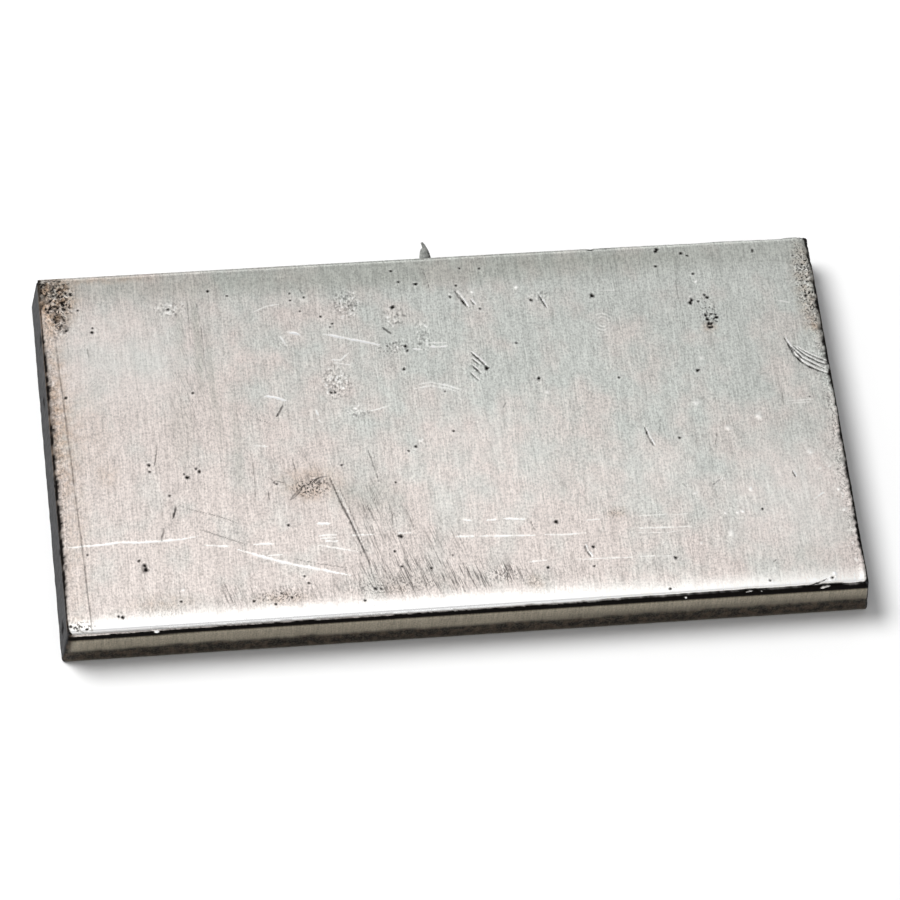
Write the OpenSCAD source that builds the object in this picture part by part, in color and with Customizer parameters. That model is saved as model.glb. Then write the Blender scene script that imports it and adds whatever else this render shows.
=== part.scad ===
// Cast metal ingot: a thin flat bar with rolled-over long edges, ends that
// lean in a little and one small hooked spur of casting flash on its back face.
//
// Frame: X along the bar's length, Y across its width, +Z up. The origin is
// the middle of the bottom face, which the ingot lies on. Sizes in mm.

/* [Bar] */
// Length of the bar along its bottom face
bar_l = 98.5; // [80:0.5:120]
// Width of the bar, front face to back face
bar_w = 51; // [40:0.5:60]
// Thickness of the bar
bar_t = 6.6; // [5:0.1:8]
// How far each end face leans in, from the bottom face up to the top
end_lean = 0.75; // [0.1:0.05:1]

/* [Edges] */
// Radius that rolls the top face over into the front and back faces
top_roll_r = 1.3; // [0.5:0.1:2]
// Radius along the lower edges of the front and back faces
bottom_roll_r = 0.4; // [0.3:0.1:1.5]
// Radius of the sharper edges above and below the two end faces
end_edge_r = 0.3; // [0.1:0.1:0.6]
// Radius of the four upright corners
corner_r = 0.5; // [0.2:0.1:1]

/* [Spur] */
// Width of the spur where it leaves the back face
spur_w = 1.6; // [1.4:0.1:2]
// Width of the spur's blunt tip
spur_tip_w = 0.3; // [0.2:0.1:0.5]
// How far the spur's left side leans to the right between root and tip
spur_lean = 0.5; // [0.1:0.1:0.8]
// How far the spur stands out from the back face
spur_reach = 2.7; // [1:0.1:4]
// Thickness of the spur at its root
spur_root_t = 1.1; // [0.6:0.1:1.5]
// Thickness of the spur at its tip
spur_tip_t = 0.4; // [0.2:0.1:0.5]
// Place of the spur's root along the bar, from the bar's middle
spur_x = 0.1; // [-10:0.1:10]

/* [Hidden] */
$fn = 64;
// How far a cutting shape runs past the surface that it cuts
past = 1;
// Angle between an end face and the upright
lean_angle = atan(end_lean / bar_t);
// How deep the spur's root reaches into the bar, so that the two fuse
spur_root_depth = top_roll_r + 0.7;
// Height of the spur's upper side: just below where the top roll begins
spur_top_z = bar_t - top_roll_r;
// The spur's right side is an arc that leaves the back face square to it and
// has come to the left by this much at the tip
spur_arc_run = spur_w - spur_lean - spur_tip_w;
spur_arc_r = (spur_arc_run ^ 2 + spur_reach ^ 2) / (2 * spur_arc_run);

// What a rounded corner takes away. The corner is at the origin. One side runs
// along +X, and the other turns off it by this angle, anticlockwise.
module corner_waste(r, angle = 90) {
    reach = r / tan(angle / 2);
    other_side = [cos(angle), sin(angle)];
    other_outward = [-sin(angle), cos(angle)];
    difference() {
        polygon([
            [reach, r],
            reach * other_side + past * other_outward,
            [-past, -past],
            [reach, -past],
        ]);
        translate([reach, r])
            circle(r);
    }
}

// A rectangle that is centred on X and stands on Y = 0, with low_r at its two
// lower corners and high_r at its two upper ones.
module rounded_outline(width, height, low_r, high_r) {
    difference() {
        translate([-width / 2, 0])
            square([width, height]);
        for (side = [0, 1])
            mirror([side, 0]) {
                translate([-width / 2, 0])
                    corner_waste(low_r);
                translate([-width / 2, height])
                    mirror([0, 1])
                        corner_waste(high_r);
            }
    }
}

// The cross-section, drawn along the length: it rolls the four long edges.
module rolled_section() {
    rotate([90, 0, 90])
        linear_extrude(bar_l, center = true)
            rounded_outline(bar_w, bar_t, bottom_roll_r, top_roll_r);
}

// The bar seen from the front: both ends lean in, and their edges are eased.
module leaning_outline() {
    difference() {
        polygon([
            [-bar_l / 2, 0],
            [bar_l / 2, 0],
            [bar_l / 2 - end_lean, bar_t],
            [end_lean - bar_l / 2, bar_t],
        ]);
        for (side = [0, 1])
            mirror([side, 0]) {
                translate([-bar_l / 2, 0])
                    corner_waste(end_edge_r, 90 - lean_angle);
                translate([end_lean - bar_l / 2, bar_t])
                    mirror([0, 1])
                        corner_waste(end_edge_r, 90 + lean_angle);
            }
    }
}

// The front view, drawn across the width.
module leaning_ends() {
    rotate([90, 0, 0])
        linear_extrude(bar_w + 2 * past, center = true)
            leaning_outline();
}

// What one upright corner loses: it follows the lean of the end face.
module upright_waste() {
    translate([-bar_l / 2, -bar_w / 2, 0])
        rotate([0, lean_angle, 0])
            translate([0, 0, -past])
                linear_extrude(bar_t + 3 * past)
                    corner_waste(corner_r);
}

module bar() {
    difference() {
        intersection() {
            rolled_section();
            leaning_ends();
        }
        for (end = [0, 1], face = [0, 1])
            mirror([end, 0, 0])
                mirror([0, face, 0])
                    upright_waste();
    }
}

// The spur seen from above, like a fin: its left side is straight, and its
// right side bows out and curls over to the blunt tip. Y = 0 is the back face.
module spur_plan() {
    intersection() {
        translate([spur_w - spur_arc_r, 0])
            circle(spur_arc_r);
        polygon([
            [0, -spur_root_depth],
            [spur_w, -spur_root_depth],
            [spur_w, spur_reach],
            [spur_lean, spur_reach],
            [0, 0],
        ]);
    }
}

// The spur seen from the side: its underside climbs from root to tip.
module spur_profile() {
    polygon([
        [-spur_root_depth, 0],
        [spur_reach, 0],
        [spur_reach, -spur_tip_t],
        [0, -spur_root_t],
        [-spur_root_depth, -spur_root_t],
    ]);
}

module spur() {
    translate([spur_x - spur_w / 2, bar_w / 2, spur_top_z])
        intersection() {
            translate([0, 0, -spur_root_t - past])
                linear_extrude(spur_root_t + 2 * past)
                    spur_plan();
            rotate([90, 0, 90])
                linear_extrude(spur_w)
                    spur_profile();
        }
}

module ingot() {
    color("silver")
        union() {
            bar();
            spur();
        }
}

ingot();
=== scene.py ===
"""Looks of a cast metal ingot: its worn surface, its finish, the studio and the camera.

The ingot is one mesh that replaces the plain CAD bar. It starts as a box whose six faces
are cut into square cells, small ones where there is something to show. The box is then
pulled onto the bar's rounded shape, and pits, scratches, gouges and droplets are pressed
into it or raised from it. Places on the bar are in millimetres, from the middle of the
bottom face: x along the bar, y towards the back face with the spur, z up.
"""

import math

import bpy
import numpy as np
from mathutils import Matrix, Vector


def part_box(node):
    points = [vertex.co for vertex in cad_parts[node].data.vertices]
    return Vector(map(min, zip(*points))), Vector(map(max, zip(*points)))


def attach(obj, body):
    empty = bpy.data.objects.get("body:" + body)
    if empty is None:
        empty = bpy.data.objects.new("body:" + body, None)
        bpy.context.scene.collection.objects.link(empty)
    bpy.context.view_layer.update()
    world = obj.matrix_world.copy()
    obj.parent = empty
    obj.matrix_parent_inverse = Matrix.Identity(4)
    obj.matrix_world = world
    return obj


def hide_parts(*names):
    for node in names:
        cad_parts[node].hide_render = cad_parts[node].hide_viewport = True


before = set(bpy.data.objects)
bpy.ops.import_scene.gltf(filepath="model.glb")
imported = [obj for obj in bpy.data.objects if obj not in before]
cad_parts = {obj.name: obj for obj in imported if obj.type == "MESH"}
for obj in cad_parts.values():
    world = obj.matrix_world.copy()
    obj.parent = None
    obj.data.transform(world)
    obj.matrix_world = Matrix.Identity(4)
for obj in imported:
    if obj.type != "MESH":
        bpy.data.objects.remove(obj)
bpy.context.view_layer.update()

MM = 0.001

# -------- the bar's sizes, in mm
node_low, node_high = (np.array(corner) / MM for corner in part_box("ingot"))
# The ends lean in by this much, from the bottom face up to the top
END_LEAN = 0.75
TOP_LENGTH = node_high[0] - node_low[0] - 2 * END_LEAN
WIDTH = -2 * node_low[1]
THICK = node_high[2]
SPUR_REACH = node_high[1] - WIDTH / 2
# The straight box that the bar is made from is as long as its top face
BAR_LOW = np.array([-TOP_LENGTH / 2, -WIDTH / 2, 0.0])
BAR_HIGH = np.array([TOP_LENGTH / 2, WIDTH / 2, THICK])

TOP_ROLL = 1.3
BOTTOM_ROLL = 0.4
END_EDGE = 0.3
CORNER = 0.5
# The rounded shape is reached along rays that start this deep inside the bar, and is found
# on each ray by this many halvings
CORE_DEPTH = 1.5
HALVINGS = 40
# Points that are this close to a face of the box are on it
TOUCHING = 1e-6
# The worn top lies this much below the CAD bar's, so that droplets have room to stand up
TOP_WEAR = 0.08
# The hooked spur: the middle of its root, then its sizes at the root and at the tip
SPUR_X = 0.1
SPUR_WIDTH = 1.6
SPUR_TIP_WIDTH = 0.3
SPUR_THICK = 1.1
SPUR_TIP_THICK = 0.4
# How far its left side leans to the right
SPUR_LEAN = 0.5
SPUR_TOP_Z = THICK - TOP_ROLL

# -------- marks on the top face
# Pits: radius, then the places of the pits that have it
PITS = {
    0.15: [
        (-25.3, 21.1), (-12.7, 16.1), (-13, 15.7), (-16.5, 18.2), (-4.6, 23.4), (9.8, 11.8),
        (32.8, 23.2), (-36.9, -3.5), (-32.8, -4.1), (-31.3, -3.5), (-5.2, -2.8), (-22, -6.1),
        (0.2, 5.4), (-45.3, -14.5), (-19.6, -19.3),
    ],
    0.16: [
        (-13.3, 6.2), (-7.3, -7.1), (0.6, -0.4), (28.2, -3.3), (45.2, 1.5), (-42.2, -23.2),
        (-20.9, -12.2), (-7.7, -14.6), (-8.4, -16.7), (-1.5, -17.7), (-23.4, -22.9), (-22.6, -21.4),
        (15.6, -17.8), (9.8, -20.3), (37, -14), (36.5, -24), (-47.3, -24.5),
    ],
    0.17: [
        (-17.5, 20.9), (-17.5, 19.9), (2.4, 19), (4, 23.2), (6.5, 23), (33.3, 16.3), (46.2, 22.3),
        (-13.6, -4.2), (-21.7, -6.3), (21.9, 5.9), (-39.2, -15.8), (-34.7, -21.7), (-7.8, -18.8),
        (-12.7, -23.2), (15.4, -20.5),
    ],
    0.18: [
        (-27.6, 21.9), (-42.2, 17.5), (-42.3, 16.9), (-15.8, 20.2), (-6.2, 12.4), (5.9, 17.1),
        (28.7, 21.8), (34.6, 14.3), (35.2, 14.2), (47.2, 22), (-46.2, 7.7), (-30.7, 7.3), (-4.3, -2.2),
        (-11.3, -21.7), (-10.6, -21.7), (-19.2, -20.3), (-48.1, -24.2), (-46.1, -24.7),
    ],
    0.2: [
        (-43.8, 20.2), (-32.7, 19.6), (-14, 17.3), (-3.8, 21.7), (-3.8, 11.6), (-4.5, 8.9), (3.3, 20.7),
        (12.4, 17.9), (34.2, 17.2), (34.5, 16.8), (34, 14.2), (46.9, 16.2), (-30.9, -3.9), (-34.8, -7),
        (-13.8, 6.2), (-26, -22.3), (-21.4, -22.1), (24.2, -24.3),
    ],
    0.22: [
        (-4, 12.2), (28.9, 24.1), (41.2, 23.4), (32.5, 16.5), (35.3, 13.8), (-36.9, -2.5), (12, 6.4),
        (-41.8, -23.3), (44.1, -24.2), (25.4, -20),
    ],
    0.24: [
        (32.1, 23.6), (33.2, 20.4), (34.1, 13.6), (34.2, 12.4), (-32.5, -4.6), (31.8, 6.3),
        (-38.6, -16.5), (-4.3, -19.3),
    ],
    0.25: [(-45.5, 17.3), (-1.7, 21.2), (-7.4, -14.7), (11.5, -14)],
    0.26: [(-5, 18), (5.7, 8.4), (29.1, 24.5), (32.3, 16.2)],
    0.27: [(34.2, 12.9)],
    0.3: [(20.1, 18)],
    0.34: [(-38.5, -17.1)],
}
# A pit's depth and the width of its hole, as shares of its radius
PIT_DEPTH = 0.6
PIT_MOUTH = 1.1

# Droplets and pimples of metal that stand up: x, y, radius, height
DROPS = [
    (38.5, -0.8, 0.5, 0.08), (34.5, -2.2, 0.42, 0.08), (32.4, -14.2, 0.3, 0.07),
    (33.9, -14.3, 0.26, 0.05), (34.6, -14.2, 0.26, 0.05), (36, -11.1, 0.36, 0.07),
    (32.7, -17, 0.5, 0.06), (46.8, -11.9, 0.32, 0.07), (47.1, -14.8, 0.3, 0.07),
    (33.5, 19.3, 0.3, 0.07), (31, 1.6, 0.4, 0.05), (28.9, -18.2, 0.22, 0.05), (29.1, -11.2, 0.3, 0.05),
    (12.8, 4.5, 0.32, 0.05), (-3.6, -1.4, 0.3, 0.05), (5.2, 19.7, 0.28, 0.06), (10.8, 20, 0.32, 0.07),
    (32.6, 8, 0.35, 0.05), (44.1, -6.4, 0.4, 0.05), (-32.4, 20.2, 0.28, 0.05), (-12.2, 6.8, 0.28, 0.06),
    (-11, 3.8, 0.25, 0.05), (-34.2, -20.1, 0.25, 0.05), (44.5, -23.5, 0.25, 0.05),
]

# Dark scratches: width, then the points that the scratch runs through
DARK_SCRATCHES = [
    (0.16, (-16.3, 21.6), (-15.9, 20.8)), (0.3, (-6.6, 15.2), (-6.1, 14.7), (-5.5, 14.1)),
    (0.18, (-6.3, 12.8), (-6.1, 12.4), (-5.8, 12)),
    (0.2, (-4.7, 12.3), (-4.2, 12.4), (-3.9, 12.1), (-3.7, 11.5)), (0.16, (-3.9, 18), (-3.9, 17.4)),
    (0.12, (-0.7, 23.4), (-0.4, 22.4), (0, 20.2)), (0.16, (-43.1, 14.6), (-43, 13.3)),
    (0.3, (-19.9, 4.8), (-20.3, 4), (-20.9, 3.1)), (0.12, (-24.5, 3.8), (-22.8, 2.8), (-21.6, 2.3)),
    (0.2, (-35.7, 0.2), (-35.9, -1), (-36.3, -2.8)),
    (0.13, (-24.4, -2.6), (-24.3, -5.4), (-24.5, -8.1)), (0.16, (-22.9, -7.1), (-22.8, -8.5)),
    (0.14, (-22.6, -5.3), (-22, -5.9), (-20.7, -6.2)),
    (0.14, (-19.5, -2.8), (-19.4, -3.8), (-19.2, -4.8)),
    (0.34, (-34.2, -8.4), (-34.3, -9.2), (-34.7, -10.3)),
    (0.12, (-34.2, -8.3), (-32, -9.3), (-30, -10), (-28.3, -10.7), (-26.1, -11.9)),
    (0.14, (-31.8, -11.6), (-31.4, -12.1), (-30.6, -12.4), (-28.5, -13.4), (-26.1, -14.5)),
    (0.24, (-35.8, -11.3), (-35.9, -12), (-36.2, -12.6), (-36.3, -13.4)),
    (0.16, (-35.8, -12.7), (-35.6, -12.9)), (0.2, (-29.3, -19.6), (-29, -20.6), (-28.6, -21.5)),
    (0.1, (-30, -18.4), (-30, -21.9)), (0.1, (-29.6, -19.8), (-28.1, -23)),
    (0.3, (-15.2, -5.8), (-14.9, -7.1), (-14.1, -10), (-13.4, -11.9), (-12.9, -13.7), (-12.3, -15.7),
     (-11.7, -17.8), (-11.5, -19.6)),
    (0.14, (-14.2, -7.4), (-13.3, -10.3), (-12.7, -12.6), (-12.2, -14.8), (-11.7, -16.6)),
    (0.17, (-10.2, -2.1), (-9.8, -4.2), (-9.3, -6.9)), (0.15, (-10.6, -6.9), (-10, -10)),
    (0.16, (-11.6, -9.8), (-11.2, -12.1)), (0.2, (-11.1, -10.1), (-10.7, -11.2), (-10.4, -12.5)),
    (0.14, (-8.5, -10.1), (-8.2, -11.6), (-8.3, -13.2)),
    (0.16, (-6.5, -10.9), (-6.1, -12.2), (-5.7, -13.9)), (0.18, (-12.6, -16.4), (-12.4, -17.1)),
    (0.16, (-9.1, -16.9), (-8.7, -18.4)), (0.18, (-8.4, -19.7), (-7.9, -21.2)),
    (0.15, (-5.9, -17.3), (-5.5, -19.5), (-5.1, -21.8)), (0.16, (-2.3, -20.3), (-1.7, -21.8)),
    (0.16, (-0.8, -22), (-0.6, -23)), (0.1, (-20.9, -16.8), (-17.5, -17.8), (-13.8, -18.7)),
    (0.15, (8.4, -13.5), (8.6, -14.2), (8.9, -15.1)), (0.28, (4.6, -20.4), (4.2, -20.8)),
    (0.2, (3.3, -21.1), (3.6, -21.8)), (0.2, (4.9, -20.2), (4.7, -21.5)),
    (0.14, (6.3, -20.3), (6.7, -22.1)), (0.16, (7.5, 3.3), (7.1, 2.6)),
    (0.13, (32.9, -2.7), (32.8, -3.6), (32.5, -4.5)), (0.13, (41.8, 2.4), (41.8, 0.4)),
    (0.16, (27.7, -9.7), (28.1, -10.3)), (0.18, (37.2, -21.5), (37.7, -21.2)),
    (0.13, (30.9, 19.9), (30.9, 17), (31.2, 13.6)), (0.12, (26.4, 0.2), (25.6, -3.2)),
    (0.1, (-29.2, 21.1), (-28.9, 16.3), (-28.8, 6.2)), (0.1, (-30.2, 22.3), (-30.4, 14.3)),
    # Dragged strokes inside the big brown stain
    (0.24, (-20.3, -8.7), (-19.6, -7.8), (-19, -7.2)),
    (0.2, (-19.9, -8.5), (-19.2, -7.8), (-18.7, -7.2)),
    (0.31, (-19, -7.2), (-18.5, -6.8), (-18.1, -6.8)),
    (0.31, (-17.4, -6.5), (-16.9, -6), (-16.4, -5.8)), (0.24, (-17, -6.6), (-16.5, -6.3)),
    (0.2, (-18.1, -6.8), (-17.2, -6.3), (-16.6, -5.8), (-15, -5.6)), (0.22, (-16.5, -6), (-16.6, -7.2)),
    (0.2, (-15.5, -6.5), (-15.4, -7.2)), (0.2, (-15.3, -5.6), (-15.1, -6.6)),
    (0.17, (-18, -5), (-17.4, -5.6), (-16.9, -5.5)),
]

# The long thin crack-like line beside the left end: its width and its points
LEFT_LINE = (
    0.2, (-46.9, 17), (-46.8, 13.4), (-46.6, 8), (-46.4, 3), (-46.2, -3), (-46, -9), (-45.8, -14),
    (-45.7, -19), (-45.5, -25),
)

# Bright scratches: width, then the points that the scratch runs through
LIGHT_SCRATCHES = [
    (0.34, (-14, 14.7), (-12.3, 14.2), (-9, 13.2), (-7.1, 12.6)), (0.4, (-18.4, 15.3), (-16.8, 14.8)),
    (0.26, (-19.3, 14.7), (-19, 14.1), (-18.6, 13.3)),
    (0.28, (-13.3, 10.9), (-12.2, 10.7), (-11.1, 11.7)), (0.26, (-13.1, 10.4), (-11.1, 10)),
    (0.3, (-3.1, 11.8), (-2, 11.6)), (0.3, (-1.1, 12), (0.2, 11.8), (1.3, 11.9)),
    (0.18, (-0.8, 12.5), (1.2, 12.4)), (0.2, (-22.2, 18.5), (-20.6, 19.2), (-18.9, 19.4)),
    (0.36, (-22.2, 6.2), (-20.9, 6), (-19.4, 5.4)), (0.28, (-16, 3.9), (-15.7, 3)),
    (0.26, (-15.8, 2.4), (-15.4, 2)), (0.2, (-9.7, 3.1), (-8.3, 3.4), (-6.9, 3.8)),
    (0.22, (-3, 6.6), (-1.4, 6.8), (0.5, 6.2), (2.7, 5.2)),
    (0.18, (-3.6, 6), (-1.5, 6.3), (0.6, 5.7), (2, 5.1)), (0.16, (20.4, 18.8), (23.4, 18.6)),
    (0.2, (43.2, 15.8), (44.8, 15.3)), (0.3, (46.5, 20.4), (47.7, 20)),
    (0.18, (-24, -0.7), (-22.2, -1)),
    (0.3, (-48.1, -13.4), (-43.6, -13.3), (-41.3, -13.1), (-39, -13.3), (-34, -13.2), (-31.9, -12.9)),
    (0.26, (-31.2, -14.2), (-28, -14.6)),
    (0.36, (-27.2, -15.1), (-25.1, -16), (-22.4, -17.1), (-20, -17.9), (-18.1, -18.4), (-15.9, -19.1),
     (-14.1, -19.6)),
    (0.3, (-25.3, -14.5), (-22.9, -14.6)), (0.22, (-23.8, -16.2), (-22, -16.2)),
    (0.2, (-17.5, -15.2), (-15.2, -15.8), (-12.9, -16.4)), (0.34, (-17.5, -12.2), (-15.8, -12.3)),
    (0.3, (-17.4, -13.9), (-15.2, -13.9)), (0.26, (-17.2, -14.3), (-15.4, -14.3)),
    (0.12, (-14.5, -7.2), (-13.7, -10.1), (-12.9, -13), (-12, -16.4)),
    (0.26, (-16.8, -14.7), (-15, -14.8)), (0.22, (-13.6, -14.1), (-10.6, -14.2)),
    (0.2, (-8, -14.2), (-6.1, -14.3)), (0.26, (0.4, -12.9), (1.3, -13.1)),
    (0.3, (3.2, -13.2), (4.3, -13.2)), (0.26, (5.2, -13.1), (7.9, -13.4)),
    (0.3, (-0.9, -15.2), (1.5, -15.3)), (0.26, (2, -15.3), (4.6, -15.5), (8.8, -15.7)),
    (0.24, (10, -15.7), (12.2, -15.9), (15, -15.8)), (0.18, (20.8, -15.6), (23, -15.7), (28.8, -15.9)),
    (0.13, (21.4, -16.3), (25, -16.5), (27.5, -16.2)), (0.22, (7.5, -19.4), (9.8, -19.2)),
    (0.17, (13, -19.4), (16, -19.5), (20.2, -19.6)), (0.15, (21.2, -19.6), (25, -19.7)),
    (0.1, (20.8, -14), (23, -13.9), (28.4, -14.1)), (0.18, (15.2, -14.1), (17, -14)),
    (0.16, (42.1, 1.1), (45.9, 1)), (0.14, (42.1, 0.7), (45, 0.7)),
    (0.16, (43.4, -13.2), (44.9, -12.2)),
]

# Gouges with a raised lip: width, depth, then the points that the gouge runs through
GOUGES = [
    (0.42, 0.12, (3.1, 19.8), (3.7, 18.7), (4.3, 17.4)), (0.3, 0.08, (4.8, 18.5), (5.3, 17.6)),
    (0.24, 0.07, (13.4, 18.6), (13.8, 17.6), (14.2, 16.6)),
    (0.3, 0.09, (4, 10.8), (4.8, 9.8), (5.6, 8.7)), (0.26, 0.08, (4, 9.9), (4.5, 9.3), (5, 8.9)),
    (0.26, 0.08, (3.9, 8.9), (4.4, 8.3), (5, 7.5)), (0.24, 0.07, (3.7, 7.7), (4.2, 7), (4.6, 6.6)),
    (0.3, 0.09, (24.1, -1.5), (24.4, -2.8), (24.9, -4.2)),
    (0.34, 0.12, (43.3, 10.2), (44.2, 7.6), (45, 6.5), (45.9, 5.7), (47, 5.1), (48, 4.6)),
    (0.26, 0.09, (43.9, 8.9), (45, 7.2), (46.3, 6.2), (47.6, 5.4)),
    (0.26, 0.09, (44.2, 8.9), (45.6, 7.4), (47, 6.4), (48.3, 5.8)),
    (0.24, 0.08, (44.6, 8.8), (45.9, 7.7), (47.2, 6.9), (48.4, 6.2)),
    (0.28, 0.09, (14.6, -17.5), (14.8, -18.4), (15.2, -19.2)), (0.22, 0.06, (41.4, -8.9), (41.7, -9.8)),
    (0.34, 0.1, (41.4, -25.2), (42.4, -24.9), (43.4, -24.3)),
    (0.26, 0.08, (40.6, -25.4), (41.6, -25.1), (42.4, -24.7)),
    (0.2, 0.05, (31.4, -10.2), (32, -9.8), (32.6, -9.4)),
]

# Roughened patches: x, y, half width, half height, specks, seed
ROUGH_PATCHES = [
    (-10.6, 18.9, 1.6, 2, 46, 1), (-13, 7.7, 1.7, 2.2, 52, 2), (-32.6, 19.7, 1.9, 1.1, 26, 3),
    (-10.8, 3.3, 1.3, 0.9, 16, 4), (-4.9, 16.6, 1.1, 1.6, 20, 5), (-1.6, 13.4, 0.9, 2, 18, 6),
    (47.4, 18.6, 0.9, 6, 26, 7), (47.2, 8.3, 0.7, 1.3, 12, 8), (47.3, -17, 0.9, 5.5, 16, 9),
    (46, -7.5, 1.6, 4, 8, 10), (13.7, 18.4, 1.4, 0.9, 12, 11), (-5, 12.3, 1.3, 0.9, 14, 12),
]

# Corroded spots, most of them at the left back corner: the same, with pits for specks
CORROSION = [
    (-46.6, 23.4, 2.1, 2, 120, 21), (-46.4, 20.7, 1.8, 1.8, 70, 22), (-46, 18.2, 0.9, 1.7, 26, 23),
    (34.4, 13.6, 0.9, 1.2, 8, 24), (-47.1, -24.4, 1.4, 0.6, 7, 25),
]

# Areas of each kind: x, y, half width, half height, strength
AREAS = {
    # Brown stains
    "rust": [
        (-17.6, -6.4, 4.4, 2.8, 0.42), (-18, -8, 1.5, 1.1, 0.25), (-46.6, 22, 3, 5, 1),
        (-47.5, 12, 1.6, 10, 0.35), (-47.3, 1.5, 1.5, 8, 0.35), (-43.5, 3, 2.5, 7, 0.15),
        (-47, -2, 2.4, 24, 0.3), (47.4, 17, 1.9, 8, 0.4), (-40, 24.6, 7, 0.9, 0.4),
        (-42, -3.8, 1.4, 2, 0.3), (-22.5, -22.2, 4, 1, 0.35), (-37, -21.8, 4.5, 1.2, 0.3),
        (19, -13.3, 1.2, 0.8, 0.4), (8.2, -22.2, 1.3, 1.3, 0.35), (34.2, 12.4, 1, 1, 0.5),
        (47.2, 11.8, 0.9, 0.9, 0.45), (-47.2, -23.8, 1.6, 1.2, 0.4), (-9, -22, 2, 0.8, 0.2),
    ],
    # Grey stains, and one long strip along the back of the top, at (0, 23.2), that is painted shade
    "grey": [
        (-10, -9, 4.5, 3, 0.4), (-14, -8.5, 2, 2.5, 0.3), (-29.5, 14.5, 0.6, 8, 0.8),
        (-28.2, 8, 0.7, 9, 0.5), (-31.5, 15, 0.5, 6, 0.5), (-32.5, 3, 1.6, 7, 0.3),
        (-26, 0, 0.5, 8, 0.4), (0, 23.2, 60, 2.8, 0.75), (14.5, -16, 6.5, 3.6, -0.25),
        (41.5, -20.4, 2, 1.2, 0.3), (-6, -20.8, 8, 1.6, 0.3), (-42.4, -22.9, 1.8, 0.9, 0.3),
        (21, 23.4, 14, 0.5, 0.25),
    ],
    # Fine slanting scuffs
    "scuff": [
        (-9.5, -16, 6.5, 7.5, 0.45), (-4.5, -20.4, 10, 2.6, 1), (3.5, -20.8, 5, 2, 0.8),
        (-2, -16, 3, 4, 0.4), (-19, -21.5, 5, 1.6, 0.6), (-10, -9, 5, 4.5, 0.25),
        (-27.5, -21.5, 4, 1.6, 0.6), (-37, -21.5, 6, 2, 0.35), (12, -21, 4, 1.5, 0.3),
        (-31, 11, 3, 12, 0.35), (-19, -4, 6, 4, 0.35), (-24, 3, 3, 3, 0.3),
    ],
    # Metal etched into fine squiggles
    "etch": [
        (-10.6, 18.9, 1.9, 2.2, 1), (-13, 7.7, 2, 2.5, 1), (-32.6, 19.7, 2.2, 1.2, 0.7),
        (-4.9, 16.6, 1.4, 1.8, 0.6), (-1.6, 13.6, 1.2, 2.4, 0.7), (-5, 12.3, 1.6, 1.1, 0.8),
        (-10.8, 3.3, 1.5, 1.1, 0.5), (13.7, 18.4, 1.6, 1, 0.5), (-18.6, 13.8, 1.2, 1.2, 0.5),
        (47.2, 18, 1.7, 6.5, 0.6), (47, 7, 1.6, 5, 0.45), (46.6, -10, 2.2, 8, 0.2),
        (47.3, -19, 1.3, 4.5, 0.2), (-47, 20, 1.8, 5, 1), (-47.6, 0, 0.9, 22, 0.5),
        (-46.9, -24, 1.9, 1.2, 0.9), (-42.2, -23, 1.5, 0.9, 0.6), (4.6, -20.5, 1.3, 1.3, 0.8),
        (-6.5, 9.3, 1.3, 0.8, 0.4), (4.6, 8.2, 1.4, 2.2, 0.5), (-26.5, -21.5, 3, 1.4, 0.4),
    ],
    # Fine dark specks
    "speck": [
        (-46.4, 22.4, 2.6, 3.2, 1), (-46.2, 18.6, 1.4, 2.4, 0.8), (-47.6, 2, 0.8, 20, 0.35),
        (-17.6, -7, 2.7, 1.6, 1), (47.3, 18.5, 1.7, 8, 1), (47.6, -4, 0.8, 22, 0.5),
        (34.3, 14.8, 1.2, 2.2, 0.8), (-46.8, -24.3, 2, 0.9, 0.8), (-22.5, -21.8, 4, 1.2, 0.7),
        (-37, -22.6, 4, 1.2, 0.35), (-9, -21.2, 7, 1.6, 0.6), (4.2, -20.8, 3, 1.4, 0.6),
        (-12.7, 7.5, 2, 2.4, 0.3), (-10.6, 18.9, 2, 2.2, 0.4), (19, -13.3, 1.4, 0.7, 0.7),
        (8.2, -22, 1.5, 1.2, 0.5), (-6, 12, 2.2, 1.2, 0.4),
    ],
    # Paler, cleaner metal
    "shine": [
        (-38, 12.5, 11, 8, 0.2), (41, -13, 9, 9, 0.2), (4, -5, 10, 11, 0.1), (24, -8, 8, 6, 0.1),
    ],
}

# The pressed ring: x, y, then the radii of its outer and inner circle
RING = (20.9, 14, 1.2, 0.7)

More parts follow.
